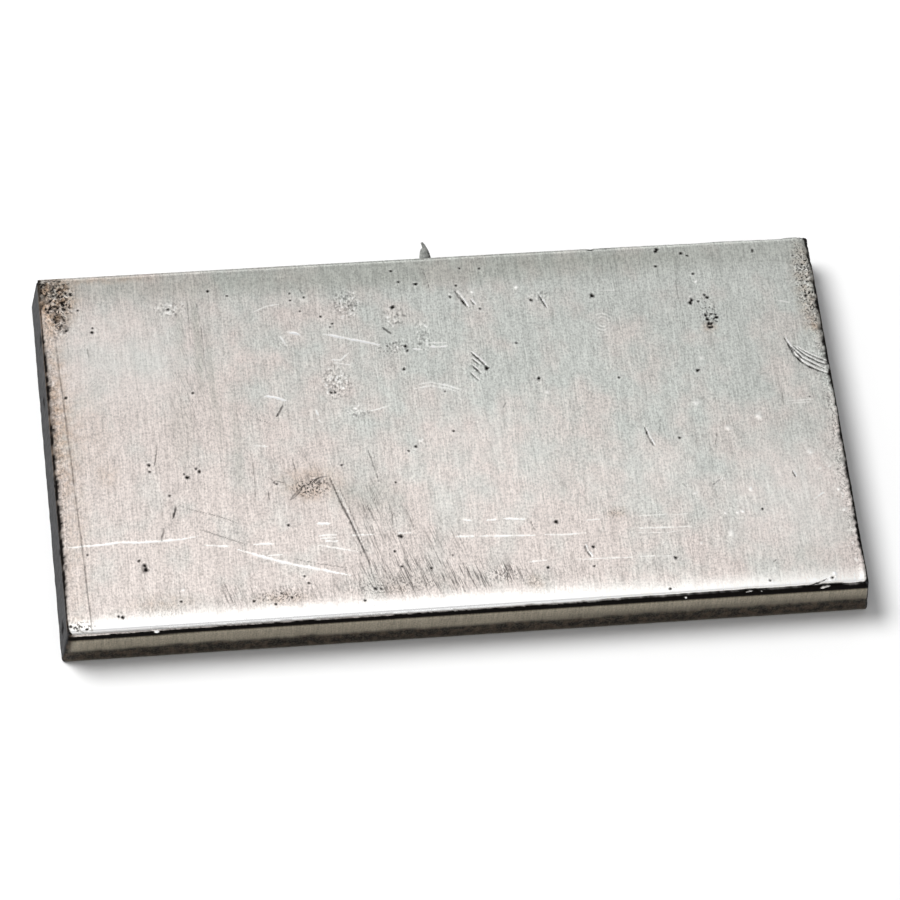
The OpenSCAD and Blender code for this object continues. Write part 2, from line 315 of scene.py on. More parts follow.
# -------- marks on the bar's edges: a place's third number is its distance below the top
# Dark chips out of the top's edges: x, y, distance below the top, radius, depth
EDGE_CHIPS = [
    (48.7, -4.3, 0.1, 0.45, 0.22), (48.7, -8.4, 0.1, 0.55, 0.22), (48.7, -9.3, 0.1, 0.4, 0.18),
    (48.7, -12.8, 0.1, 0.35, 0.2), (48.7, -15.3, 0.1, 0.4, 0.25), (48.7, -16.2, 0.1, 0.35, 0.2),
    (48.6, -17.2, 0.1, 0.5, 0.28), (48.7, -18.4, 0.1, 0.5, 0.28), (48.7, -19.3, 0.1, 0.5, 0.25),
    (48.7, -19.9, 0.2, 0.3, 0.2), (48.6, -20.4, 0.1, 0.25, 0.15), (48.7, 6.4, 0.1, 0.3, 0.15),
    (48.7, 0.2, 0.1, 0.35, 0.15), (48.7, 12, 0.2, 0.4, 0.15), (48.7, 18, 0.2, 0.5, 0.14),
    (-48.7, -3.6, 0.2, 0.55, 0.25), (-48.7, -4.3, 0.4, 0.4, 0.25), (-48.7, 22.3, 0.2, 0.5, 0.2),
    (-48.7, -13.6, 0.6, 0.5, 0.15), (-48.7, -22.6, 3.5, 0.9, 0.3), (-48.7, 9, 3, 0.6, 0.12),
    (-48.7, 17, 1.4, 0.8, 0.15), (20.8, 25.4, 0.1, 0.5, 0.3), (22.8, 25.3, 0.1, 0.2, 0.1),
    (48.3, 25.2, 0.3, 0.8, 0.25), (47.4, 25.3, 0.4, 0.4, 0.15), (-48.4, 25, 0.4, 0.7, 0.25),
]
# Folds of metal on the front edge, painted bright as a painted highlight where they catch the light:
# radius, height, then the points
EDGE_LIPS = [
    (0.32, 0.1, (-37.8, -25.5, 0.5)), (0.17, 0.09, (42.6, -25.5, 0.5), (43.7, -25.5, 0.1)),
    (0.1, 0.06, (33.4, -25.5, 0.3), (34.2, -25.5, 0.1)), (0.15, 0.08, (26, -25.5, 0.6)),
    (0.11, 0.06, (35.3, -25.5, 0.3)),
]

# Worn stretches of edge: radius, depth and dirt, then the points that they run through
WORN_EDGES = [
    (1, 0.28, 0.5, (48.7, 25.6, 0.2), (48.8, 23, 0.2), (48.8, 20.9, 0.2)),
    (0.5, 0.05, 0.9, (-48.5, 25.4, 0.1), (-48.5, 20, 0.1)),
    (0.6, 0.06, 1, (48.5, 25.4, 0.1), (48.5, 0, 0.1)),
    (0.52, 0.06, 1, (48.5, 0, 0.1), (48.5, -25, 0.1)),
    (0.48, 0.04, 1, (-48.5, 20, 0), (-48.5, 0, 0), (-48.5, -25.2, 0)),
]

# -------- noise and masks
def smooth(value, start, end):
    """0 before start, 1 after end, and an S-curve between them."""
    t = np.clip((value - start) / (end - start), 0, 1)
    return t * t * (3 - 2 * t)


def wobble(position, period, seed):
    """Smooth random values from -1 to 1 along one coordinate."""
    values = np.random.default_rng(seed).uniform(-1, 1, 512)
    t = position / period
    cell = np.floor(t).astype(int)
    blend = smooth(t - cell, 0, 1)
    return values[cell % 512] * (1 - blend) + values[(cell + 1) % 512] * blend


def rough(u, v, period, seed):
    """Smooth random values from -1 to 1 over a surface."""
    values = np.random.default_rng(seed).uniform(-1, 1, (64, 64))
    t = np.array([u, v]) / period
    cell = np.floor(t).astype(int)
    blend_u, blend_v = smooth(t - cell, 0, 1)
    (u0, v0), (u1, v1) = cell % 64, (cell + 1) % 64
    near = values[u0, v0] * (1 - blend_u) + values[u1, v0] * blend_u
    far = values[u0, v1] * (1 - blend_u) + values[u1, v1] * blend_u
    return near * (1 - blend_v) + far * blend_v


def blot(points, x, y, half_w, half_h):
    """1 in the middle of an oval on the top face, fading to 0 at its rim."""
    reach = np.hypot((points[:, 0] - x) / half_w, (points[:, 1] - y) / half_h)
    return 1 - smooth(reach, 0.3, 1.3)


# -------- marks as one kind of thing
# Distances from a mark's middle, in radii: where its lip starts and ends, and where it is felt
LIP_START = 0.9
LIP_END = 2.1
REACH = 2.2
# How bright the painted highlight on a lip is, for each mm of its height
LIP_HIGHLIGHT = 9
# The smallest cell edge in mm
FINEST = 0.12


class Mark:
    """A groove, pit or bump that follows a line of points on the box's surface.

    height is how far its middle stands up, and is negative for a groove or a pit. lip is
    how high the metal that it pushed aside stands beside it; the lip is also painted bright,
    a painted highlight that grows with its height. dirt and shine say how dark and how bright
    its metal is, and shine is a painted highlight on gouges' lips and the front edge's folds."""

    def __init__(self, points, radius, height, lip=0.0, dirt_and_shade=0.0, shine=0.0, ends=0.35):
        # Places without a height are on the top face, and those past the box are on its skin
        points = np.array([p if len(p) == 3 else (*p, THICK) for p in points], float)
        self.points = np.clip(points, BAR_LOW, BAR_HIGH)
        self.radius = radius
        self.height = height
        self.lip = lip
        self.dirt_and_shade = dirt_and_shade
        self.shine = shine
        # The radius tapers to this share of itself at a line's two ends
        self.ends = ends
        self.reach = radius * REACH
        self.cell = max(radius * 0.7, FINEST)

    def nearby(self, points, margin):
        """The indices of the points that are in the mark's own box, grown by margin."""
        low = self.points.min(0) - self.reach - margin
        high = self.points.max(0) + self.reach + margin
        return np.nonzero(((points > low) & (points < high)).all(1))[0]

    def measure(self, points):
        """Each point's distance from the line, and how far along the line it is, 0 to 1."""
        best = np.full(len(points), np.inf)
        along = np.full(len(points), 0.5)
        if len(self.points) == 1:
            return np.linalg.norm(points - self.points[0], axis=1), along
        lengths = np.linalg.norm(np.diff(self.points, axis=0), axis=1)
        done = 0.0
        for start, end, length in zip(self.points[:-1], self.points[1:], lengths):
            t = np.clip(((points - start) @ (end - start)) / length**2, 0, 1)
            distance = np.linalg.norm(points - start - t[:, None] * (end - start), axis=1)
            closer = distance < best
            best[closer] = distance[closer]
            along[closer] = (done + t[closer] * length) / lengths.sum()
            done += length
        return best, along

    def press(self, points, skin):
        """Adds this mark to the skin's height, dirt and shine."""
        at = self.nearby(points, 0)
        if not len(at):
            return
        x, y = points[at, 0], points[at, 1]
        distance, along = self.measure(points[at])
        taper = 1.0
        patches = 1.0
        if len(self.points) > 1:
            taper = self.ends + (1 - self.ends) * smooth(4 * along * (1 - along), 0, 0.8)
            patches = 0.55 + 0.45 * smooth(rough(x, y, 0.7, 41), -0.9, 0.1)
        t = distance / (self.radius * taper) * (1 + 0.45 * rough(x, y, 0.3, 42))
        core = np.where(t < 1, (1 - np.minimum(t, 1) ** 2) ** 2, 0)
        across = np.clip((t - LIP_START) / (LIP_END - LIP_START), 0, 1)
        beside = np.sin(np.pi * across) ** 2
        skin["height"][at] += self.height * core * taper + self.lip * beside * taper
        colour = (1 - smooth(t, 0.5, 1.3)) * patches
        # A lip's painted highlight grows with its height
        glint = np.maximum(self.shine * colour, LIP_HIGHLIGHT * self.lip * beside)
        skin["dirt_and_shade"][at] = np.maximum(skin["dirt_and_shade"][at], self.dirt_and_shade * colour)
        skin["shine"][at] = np.maximum(skin["shine"][at], glint)


# -------- the list of all marks
def scattered(x, y, half_w, half_h, count, seed, slant):
    """Random strokes in an oval, thicker towards its middle: place, slant, radius, dice."""
    dice = np.random.default_rng(seed)
    reach = dice.uniform(0, 1, count) ** 0.6
    turn = dice.uniform(0, 2 * np.pi, count)
    places = np.stack([x + half_w * reach * np.cos(turn), y + half_h * reach * np.sin(turn)], 1)
    limit = BAR_HIGH[:2] - 0.15
    for place in np.clip(places, -limit, limit):
        radius = dice.uniform(0.1, 0.2)
        yield place, dice.uniform(-slant, slant, 2), radius, dice


def rough_patch(*oval):
    for place, slant, radius, dice in scattered(*oval, 0.35):
        if dice.uniform() < 0.5:
            yield Mark([place, place + slant], radius, 0.022, shine=0.45, ends=0.7)
        else:
            yield Mark([place, place + slant], radius, -0.035, dirt_and_shade=dice.uniform(0.2, 0.6), ends=0.7)


def corrosion(*oval):
    for place, slant, radius, dice in scattered(*oval, 0.4):
        if dice.uniform() < 0.15:
            yield Mark([place, place + 0.5 * slant], radius, 0.05, shine=0.4, ends=0.7)
        else:
            yield Mark([place, place + slant], radius, -0.5 * radius, dirt_and_shade=1.0, ends=0.6)


def gouge(width, depth, *line):
    """A dark groove, with the lip of metal that it threw up on its right painted bright as a painted
    highlight.
    """
    yield Mark(line, 0.45 * width, -depth, dirt_and_shade=1.0)
    lip = [(x + 0.6 * width, y + 0.3 * width) for x, y in line]
    yield Mark(lip, 0.48 * width, 0.5 * depth, shine=1.0)


def below_top(line):
    """Turns places given by their distance below the top face into x, y, z."""
    return [(x, y, THICK - down) for x, y, down in line]


def dark_scratch(width, *line):
    return Mark(line, 0.45 * width, -0.02, 0.004, dirt_and_shade=min(0.35 + 1.7 * width, 0.95))


def light_scratch(width, *line):
    return Mark(line, 0.48 * width, -0.012, shine=min(0.3 + 1.8 * width, 1))


def all_marks():
    marks = [
        Mark([place], PIT_MOUTH * r, -PIT_DEPTH * r, 0.018, dirt_and_shade=1.0)
        for r, places in PITS.items() for place in places
    ]
    marks += [Mark([(x, y)], r, h, shine=0.45) for x, y, r, h in DROPS]
    marks += [dark_scratch(*scratch) for scratch in DARK_SCRATCHES]
    marks += [light_scratch(*scratch) for scratch in LIGHT_SCRATCHES]
    marks.append(Mark(LEFT_LINE[1:], 0.5 * LEFT_LINE[0], -0.04, dirt_and_shade=0.6, ends=0.8))
    marks += [Mark(below_top([place]), r, -depth, dirt_and_shade=0.9) for *place, r, depth in EDGE_CHIPS]
    marks += [Mark(below_top(line), r, height, shine=1.0) for r, height, *line in EDGE_LIPS]
    marks += [Mark(below_top(line), r, -depth, dirt_and_shade=dirt_and_shade) for r, depth, dirt_and_shade, *line in WORN_EDGES]
    for make, places in ((gouge, GOUGES), (rough_patch, ROUGH_PATCHES), (corrosion, CORROSION)):
        for place in places:
            marks += make(*place)
    x, y, *radii = RING
    for radius in radii:
        turns = np.linspace(0, 2 * np.pi, 25)
        circle = [(x + radius * np.cos(t), y + radius * np.sin(t)) for t in turns]
        marks.append(Mark(circle, 0.14, -0.03, 0.012, dirt_and_shade=0.12, shine=0.2, ends=1.0))
    return marks


# -------- the box cut into cells
# Sizes of a cell's edge, in lattice steps, and the largest cell's edge in mm
CELL_STEPS = (32, 16, 8, 4, 2)
LARGEST = 1.875
LATTICE = np.round((BAR_HIGH - BAR_LOW) / LARGEST).astype(int) * CELL_STEPS[0]
STEP_MM = (BAR_HIGH - BAR_LOW) / LATTICE
AXES = np.eye(3, dtype=int)

# The spur's root on the back face, its low and high corner in x and z: in mm, then in steps
SPUR_ROOT_MM = np.array([
    [SPUR_X - SPUR_WIDTH / 2, SPUR_TOP_Z - SPUR_THICK],
    [SPUR_X + SPUR_WIDTH / 2, SPUR_TOP_Z],
])
SPUR_ROOT = (np.round((SPUR_ROOT_MM - BAR_LOW[[0, 2]]) / STEP_MM[[0, 2]] / 2) * 2).astype(int)


def to_mm(lattice):
    return BAR_LOW + lattice * STEP_MM


def edge_distances(points):
    """How far each point of the box's surface is from its nearest long edge and end edge.

    The first is measured round the long edges of the top, over the top face or down the
    front or back face. The second is measured in the same way round the ends' edges."""
    side = BAR_HIGH[1] - np.abs(points[:, 1])
    down = THICK - points[:, 2]
    long_edge = np.where(side < TOUCHING, down, np.where(down < TOUCHING, side, np.inf))
    end = BAR_HIGH[0] - np.abs(points[:, 0])
    across = np.minimum(side, np.minimum(down, points[:, 2]))
    end_edge = np.where(end < TOUCHING, across, end)
    return long_edge, end_edge


def plain_cell(points):
    """The cell size in mm that the bar's own shape needs at each point."""
    whole, half, quarter, eighth = (1.02 * LARGEST / parts for parts in (1, 2, 4, 8))
    under = points[:, 2] < TOUCHING
    side = BAR_HIGH[1] - np.abs(points[:, 1])
    long_edge, end_edge = edge_distances(points)
    wanted = np.where(under, whole, half)
    wanted[side < TOUCHING] = quarter
    wanted[(long_edge < 1.6) | (end_edge < 0.6)] = eighth
    wanted[under & ((side < 0.9) | (end_edge < 0.5))] = quarter
    return wanted


def cut_into_cells(marks):
    """Returns (low corners, size in steps, axis, side) for each group of cells."""
    groups = []
    for axis in range(3):
        b, c = (axis + 1) % 3, (axis + 2) % 3
        for side in (0, 1):
            counts = LATTICE // CELL_STEPS[0]
            counts[axis] = 1
            low = np.indices(counts).reshape(3, -1).T * CELL_STEPS[0]
            low[:, axis] = side * LATTICE[axis]
            for size, half in zip(CELL_STEPS, CELL_STEPS[1:]):
                middle = low.copy()
                middle[:, [b, c]] += half
                points = to_mm(middle)
                split = size * STEP_MM[0] > plain_cell(points)
                reach = 0.71 * size * STEP_MM[0]
                for mark in marks:
                    if size * STEP_MM[0] <= mark.cell:
                        continue
                    at = mark.nearby(points, reach)
                    at = at[~split[at]]
                    if len(at):
                        distance, _ = mark.measure(points[at])
                        split[at[distance < mark.radius * 1.2 + reach]] = True
                groups.append((low[~split], size, axis, side))
                low = np.concatenate([
                    low[split] + step * AXES[b] + other * AXES[c]
                    for step in (0, half) for other in (0, half)
                ])
            groups.append((low, CELL_STEPS[-1], axis, side))
    return groups


def add_spur_cells(groups):
    """Cuts the cells at the spur's root down to one lattice step."""
    out = []
    for low, size, axis, side in groups:
        place = low[:, [0, 2]]
        root = ((place + size > SPUR_ROOT[0] - 2) & (place < SPUR_ROOT[1] + 2)).all(1)
        root &= (axis, side) == (1, 1)
        out.append((low[~root], size, axis, side))
        if root.any():
            steps = [np.array([i, 0, k]) for i in range(size) for k in range(size)]
            out.append((np.concatenate([low[root] + step for step in steps]), 1, axis, side))
    return out


def key_of(lattice):
    """One whole number for each lattice point."""
    return (lattice[:, 0] * (LATTICE[1] + 1) + lattice[:, 1]) * (LATTICE[2] + 1) + lattice[:, 2]


def build_faces(groups):
    """Joins the cells into one closed surface: (lattice points, faces as index lists)."""
    corner_sets = []
    for low, size, axis, side in groups:
        b, c = AXES[[(axis + 1) % 3, (axis + 2) % 3]] * size
        ring = (low, low + b, low + b + c, low + c)
        corner_sets.append(ring if side else ring[::-1])
    every = np.concatenate([np.concatenate(ring) for ring in corner_sets])
    keys, first = np.unique(key_of(every), return_index=True)
    points = list(every[first])
    index = {key: i for i, key in enumerate(keys.tolist())}
    faces = []
    for ring, (low, size, axis, side) in zip(corner_sets, groups):
        ids = np.stack([np.searchsorted(keys, key_of(corner)) for corner in ring], 1)
        if size == 1:
            faces += ids.tolist()
            continue
        broken = np.zeros(len(low), bool)
        for start, end in zip(ring, ring[1:] + ring[:1]):
            broken |= np.isin(key_of((start + end) // 2), keys)
        faces += ids[~broken].tolist()
        for at in np.nonzero(broken)[0]:
            corners = [corner[at] for corner in ring]
            outline = []
            for start, end in zip(corners, corners[1:] + corners[:1]):
                outline += edge_points(start, end, index)
            middle = len(points)
            points.append((corners[0] + corners[2]) // 2)
            for one, two in zip(outline, outline[1:] + outline[:1]):
                faces.append([middle, one, two])
    return np.array(points), faces


def edge_points(start, end, index):
    """The indices of the lattice points in use from start up to, but not at, end."""
    first = index[int(key_of(start[None])[0])]
    if np.abs(end - start).max() < 2:
        return [first]
    middle = (start + end) // 2
    if int(key_of(middle[None])[0]) not in index:
        return [first]
    return edge_points(start, middle, index) + edge_points(middle, end, index)


# -------- from the box to the bar
def rounded_rectangle(u, v, half_u, low_v, high_v, low_r, high_r):
    """Signed distance to a rectangle with low_r at its lower corners and high_r above."""
    middle = (low_v + high_v) / 2
    r = np.where(v < middle, low_r, high_r)
    du = np.abs(u) - half_u + r
    dv = np.abs(v - middle) - (high_v - low_v) / 2 + r
    outside = np.hypot(np.maximum(du, 0), np.maximum(dv, 0))
    return outside + np.minimum(np.maximum(du, dv), 0) - r


def bar_distance(p):
    """Signed distance to the bar: below 0 inside it."""
    x, y, z = p.T
    section = rounded_rectangle(y, z, BAR_HIGH[1], 0, THICK, BOTTOM_ROLL, TOP_ROLL)
    side_view = rounded_rectangle(x, z, BAR_HIGH[0], 0, THICK, END_EDGE, END_EDGE)
    plan = rounded_rectangle(x, y, BAR_HIGH[0], BAR_LOW[1], BAR_HIGH[1], CORNER, CORNER)
    return np.maximum(section, np.maximum(side_view, plan))


def pull_to_bar(box_points):
    """Each box point's place on the bar's rounded surface, and its outward direction."""
    core = np.clip(box_points, BAR_LOW + CORE_DEPTH, BAR_HIGH - CORE_DEPTH)
    outward = box_points - core
    outward /= np.linalg.norm(outward, axis=1)[:, None]
    near, far = np.zeros(len(core)), np.full(len(core), 2 * CORE_DEPTH)
    for _ in range(HALVINGS):
        middle = (near + far) / 2
        inside = bar_distance(core + outward * middle[:, None]) < 0
        near = np.where(inside, middle, near)
        far = np.where(inside, far, middle)
    return core + outward * near[:, None], outward


def lean_ends(points):
    """Pushes the lower part of both ends out, so that the ends lean in towards the top."""
    near_end = smooth(np.abs(points[:, 0]), BAR_HIGH[0] - 4, BAR_HIGH[0] - 0.5)
    points[:, 0] += np.sign(points[:, 0]) * near_end * END_LEAN * (1 - points[:, 2] / THICK)
    return points


# -------- the bar's worn skin
# How far the top rolls off towards its front and its back edge, and from how far away
FRONT_ROLL_OFF = np.array([0.34, 3.6])
BACK_ROLL_OFF = np.array([0.13, 8.0])
# The dark undercut line below the front and back faces' rolled edge, measured down from it; its black
# is a painted dark reflection
SEAM_TOP = 0.24
SEAM_BOTTOM = 1.2
SEAM_DEPTH = 0.14
# The rough dark band low on the front and back faces: dirt, with painted shade near the floor
BAND_LOW = 1.1
BAND_HIGH = 3.05
# How much lower the seam and the band sit at the left end
SAG = 0.24
# How strongly the top is polished along its front edge, with its pale colour a painted highlight, and
# where that fades out
POLISH_AND_HIGHLIGHT = 0.95
POLISH_AND_HIGHLIGHT_FADE = (0.6, 3.4)


def press_skin(points, marks):
    """The height, dirt and shine, and the other masks, at each point of the box."""
    skin = {name: np.zeros(len(points)) for name in ("height", "dirt_and_shade", *AREAS)}
    x, y, z = points.T
    on_top = z > THICK - TOUCHING
    on_long_side = np.abs(y) > BAR_HIGH[1] - TOUCHING
    on_end = np.abs(x) > BAR_HIGH[0] - TOUCHING

    for mark in marks:
        mark.press(points, skin)

    # The top face rolls off towards its long edges, and isn't quite flat
    from_edge = BAR_HIGH[1] - np.abs(y)
    drop, reach = np.where(y < 0, FRONT_ROLL_OFF[:, None], BACK_ROLL_OFF[:, None])
    roll_off = drop * np.clip(1 - from_edge / reach, 0, 1) ** 3
    waves = 0.012 * rough(x, y, 9, 51) + 0.006 * rough(x, y, 3.5, 52)
    top_only = smooth(from_edge, 0, 1.5) * smooth(BAR_HIGH[0] - np.abs(x), 0, 1)
    skin["height"] += np.where(on_top, -roll_off + (waves - TOP_WEAR * top_only), 0)

    # Seam below the rolled edge, a shallow groove painted black as a painted dark reflection: its lower
    # border is straight. Its upper one is ragged, and higher and softer towards the right.
    sag = SAG * smooth(-x, 30, 46)
    down = np.where(on_top, -from_edge, THICK - z) - sag
    right = smooth(x, 8, 34)
    border = SEAM_TOP - 0.1 * smooth(x, -20, 10) - 0.12 * right + np.where(y > 0, 0.45, 0)
    border += 0.08 * wobble(x + 200, 0.9, 53) + 0.08 * wobble(x + 200, 0.33, 54)
    border += 0.2 * smooth(x, 38, 43) * wobble(x + 200, 1.6, 65)
    seam_dark_reflection = 1 - smooth(down, SEAM_BOTTOM - 0.1, SEAM_BOTTOM + 0.04)
    seam_dark_reflection *= smooth(down, border - 0.14 - 0.4 * right, border + 0.1)
    seam_dark_reflection *= 1 - np.clip(skin["shine"], 0, 1)
    seam_dark_reflection = np.where(on_long_side | on_top, seam_dark_reflection, 0)
    skin["height"] -= SEAM_DEPTH * seam_dark_reflection
    skin["seam_dark_reflection"] = seam_dark_reflection

    # Rough band low on the long sides, with its upper border torn into upright streaks. Its dark
    # colour is dirt, with painted shade from the floor's contact shadow.
    torn = 0.2 * wobble(x + 300, 2.3, 55) + 0.12 * wobble(x + 300, 0.4, 56)
    band_dirt_and_shade = 0.65 + 0.35 * smooth(z, BAND_LOW - 0.8, BAND_LOW - 0.1)
    band_dirt_and_shade *= 1 - smooth(z + sag, BAND_HIGH + torn - 0.45, BAND_HIGH + torn + 0.4)
    # Darker on the right half of the faces, below mid-height
    band_dirt_and_shade = np.maximum(band_dirt_and_shade, 0.45 * smooth(x, 0, 20) * (1 - smooth(z, 3.2, 4.6)))
    # Painted shade at the front face's left end, darkening its corner
    band_dirt_and_shade = np.maximum(band_dirt_and_shade, np.where(y < 0, 1 - smooth(x - BAR_LOW[0], 0.3, 1.1), 0))
    band_dirt_and_shade = np.where(on_long_side, band_dirt_and_shade, 0)
    streaks = 0.5 + 0.5 * wobble(x + 400, 0.45, 57)
    skin["height"] -= band_dirt_and_shade * (0.03 + 0.03 * streaks + 0.02 * rough(x, z, 0.6, 58))
    skin["band_dirt_and_shade"] = band_dirt_and_shade

    # The ends were cut off: fine upright ridges, and a rougher lower half
    ridges = 0.012 * wobble(y + 100, 0.5, 59) + 0.01 * rough(y, z, 1.1, 60)
    torn_end = 0.05 * smooth(-z, -3.2, -1.8) * (0.5 + 0.5 * rough(y, z, 0.9, 61))
    skin["height"] += np.where(on_end, ridges - 0.02 - torn_end, 0)
    skin["end"] = np.where(on_end, 1.0, 0.0)

    # The end edges of the top are dented all along
    end_gap = np.hypot(BAR_HIGH[0] - np.abs(x), THICK - z)
    dents = np.clip(0.2 + wobble(y + 500 + x, 0.8, 62) + 0.6 * wobble(y + 500, 0.3, 63), 0, 1)
    skin["height"] -= np.where(x > 0, 0.08, 0.03) * dents * (1 - smooth(end_gap, 0.1, 0.6))

    # The areas fade out just below the top, and the front edge is polished by handling, with a painted
    # highlight in its pale colour
    near_top = smooth(z, THICK - 0.8, THICK - 0.2)
    for name, places in AREAS.items():
        for x0, y0, half_w, half_h, strength in places:
            skin[name] += strength * near_top * blot(points, x0, y0, half_w, half_h)
    polish_and_highlight = POLISH_AND_HIGHLIGHT * (1 - smooth(from_edge + 0.3 * rough(x, y, 1.2, 66), *POLISH_AND_HIGHLIGHT_FADE))
    polish_and_highlight *= 1 - 0.3 * smooth(x, -5, 20) - 0.2 * smooth(-x, 34, 44)
    skin["shine"] += np.where(on_top & (y < 0), polish_and_highlight, 0)
    skin["shine"][on_end] = 0
    skin["side"] = np.where(on_long_side, smooth(THICK - z, 0.3, 0.8), 0)
    skin["side"] = np.maximum(skin["side"], skin["end"])
    # How pink the metal is: pinker at the left and to the front
    skin["pink"] = 0.45 - 0.003 * x - 0.022 * y + 0.3 * rough(x, y, 6, 64)
    skin["pink"] += 0.6 * smooth(-x, 10, 32)
    return skin


def shape_spur(lattice, points):
    """Draws the cells at the spur's root out into the spur. Returns a mask of its points: oxide
    darkening all over, with painted shade on its right side and at its root.
    """
    place = lattice[:, [0, 2]]
    ring = np.minimum(place - SPUR_ROOT[0], SPUR_ROOT[1] - place).min(1)
    at = np.nonzero((lattice[:, 1] == LATTICE[1]) & (ring > 0))[0]
    ring = ring[at]
    half = (SPUR_ROOT[1] - SPUR_ROOT[0]) / 2
    last = half.min()
    # Where the point is on its own ring, from -1 to 1 each way
    spread = np.maximum(half - ring[:, None], TOUCHING)
    place = np.clip((place[at] - SPUR_ROOT[0] - half) / spread, -1, 1)
    place[ring >= last, 1] = 0
    a, b = place.T
    a, b = a * (1 - 0.3 * b**2), b * (1 - 0.3 * a**2)
    out = np.minimum((ring - 0.5) / (last - 1.5), 1.0) * (SPUR_REACH - 0.05)
    out += np.where(ring >= last, 0.04, 0)
    run = SPUR_WIDTH - SPUR_LEAN - SPUR_TIP_WIDTH
    arc = (run**2 + SPUR_REACH**2) / (2 * run)
    notch = 0.28 * np.exp(-(((out - 2.1) / 0.3) ** 2))
    left = SPUR_LEAN * out / SPUR_REACH + notch
    right = SPUR_WIDTH - arc + np.sqrt(arc**2 - out**2)
    thick = SPUR_THICK + (SPUR_TIP_THICK - SPUR_THICK) * out / SPUR_REACH
    points[at, 0] = SPUR_ROOT_MM[0, 0] + left + (right - left) * (a + 1) / 2
    points[at, 1] = BAR_HIGH[1] + out
    points[at, 2] = SPUR_TOP_Z - thick * (1 - b) / 2
    mask = np.zeros(len(points))
    # Even oxide darkening, raised on the spur's right side and at its root as painted shade
    mask[at] = 0.7 + 0.3 * np.maximum(smooth(a, 0.3, 0.8), 1 - smooth(out, 0.1, 0.5))
    return mask


def vertex_normals(points, faces):
    """Normals that don't swing towards large faces where cells of two sizes meet."""
    normals = np.zeros_like(points)
    for count in (3, 4):
        ids = np.array([face for face in faces if len(face) == count])
        for corner in range(count):
            here = points[ids[:, corner]]
            after = points[ids[:, (corner + 1) % count]] - here
            before = points[ids[:, corner - 1]] - here
            share = (after**2).sum(1) * (before**2).sum(1)
            np.add.at(normals, ids[:, corner], np.cross(after, before) / share[:, None])
    return normals / np.linalg.norm(normals, axis=1)[:, None]


def add_object(name, data):
    added = bpy.data.objects.new(name, data)
    bpy.context.scene.collection.objects.link(added)
    return added


def make_ingot():
    marks = all_marks()
    lattice, faces = build_faces(add_spur_cells(cut_into_cells(marks)))
    box_points = to_mm(lattice)
    surface, outward = pull_to_bar(box_points)
    skin = press_skin(box_points, marks)
    surface += outward * skin.pop("height")[:, None]
    surface = lean_ends(np.clip(surface, BAR_LOW, BAR_HIGH))
    skin["spur"] = shape_spur(lattice, surface)
    skin["side"][skin["spur"] > 0] = 0
    mesh = bpy.data.meshes.new("ingot_body")
    mesh.from_pydata((surface * MM).tolist(), [], faces)
    mesh.validate()
    for name, values in skin.items():
        attribute = mesh.attributes.new(name, "FLOAT", "POINT")
        attribute.data.foreach_set("value", np.clip(values, -1, 1).astype(np.float32))
    mesh.shade_smooth()
    mesh.normals_split_custom_set_from_vertices(vertex_normals(surface, faces).tolist())
    triangles = sum(len(face) - 2 for face in faces)
    print("ingot:", len(mesh.vertices), "vertices,", triangles, "triangles")
    return add_object("ingot_body", mesh)


# -------- the finish
class Nodes:
    """Short calls that add shader nodes to one node tree."""

    def __init__(self, tree):
        self.tree = tree
        self.place = tree.nodes.new("ShaderNodeTexCoord").outputs["Object"]

    def put(self, socket, value):
        if isinstance(value, bpy.types.NodeSocket):
            self.tree.links.new(value, socket)
        else:
            socket.default_value = value

    def node(self, kind, **inputs):
        """A new node, with the named inputs put in."""
        node = self.tree.nodes.new("ShaderNode" + kind)
        for name, value in inputs.items():
            self.put(node.inputs[name], value)
        return node

    def math(self, operation, a, b=0.0, clamp=False):
        node = self.node("Math")
        node.operation = operation
        node.use_clamp = clamp
        self.put(node.inputs[0], a)
        self.put(node.inputs[1], b)
        return node.outputs[0]

    def times(self, a, b, clamp=False):
        return self.math("MULTIPLY", a, b, clamp)

    def mask(self, name):
        node = self.node("Attribute")
        node.attribute_name = name
        return node.outputs["Fac"]

    def noise(self, size, detail=2, roughness=0.5, turn=0):
        """Noise whose cells have this size in mm along x, y and z, turned about z."""
        size = [value * MM for value in size]
        stretch = self.node("Mapping", Vector=self.place, Rotation=(0, 0, turn), Scale=size)
        stretch.vector_type = "TEXTURE"
        noise = self.node("TexNoise", Vector=stretch.outputs[0], Scale=1, Detail=detail)
        self.put(noise.inputs["Roughness"], roughness)
        return noise.outputs[0]

    def ramp(self, value, low, high, start=0.0, end=1.0):
        """start below low, end above high, and straight between them."""
        node = self.node("MapRange", Value=value)
        for socket, number in zip(node.inputs[1:5], (low, high, start, end)):
            self.put(socket, number)
        return node.outputs[0]

    def mix(self, factor, a, b):
        node = self.node("Mix")
        node.data_type = "RGBA"
        self.put(node.inputs["Factor"], factor)
        for socket, value in zip(node.inputs[6:8], (a, b)):
            self.put(socket, (*value, 1.0) if isinstance(value, tuple) else value)
        return node.outputs[2]

    def scale(self, colour, factor):
        """The colour times a number."""
        node = self.node("VectorMath")
        node.operation = "SCALE"
        self.put(node.inputs[0], colour)
        self.put(node.inputs["Scale"], factor)
        return node.outputs[0]


PINK_SILVER = (0.80, 0.725, 0.685)
COOL_SILVER = (0.69, 0.71, 0.675)
SIDE_TARNISH = (0.265, 0.235, 0.18)
END_TARNISH = (0.034, 0.034, 0.036)
# The band's colours: dirt, with painted shade near the floor
BAND_BROWN = (0.055, 0.038, 0.027)
BAND_DARK = (0.006, 0.0045, 0.0035)
# Colour of dirt, and of the seam's painted dark reflection and the spur's painted shade
GRIME_AND_SHADE = (0.004, 0.003, 0.0025)
GREY_FILM_AND_SHADE = (0.42, 0.43, 0.38)
RUST = (0.58, 0.42, 0.3)
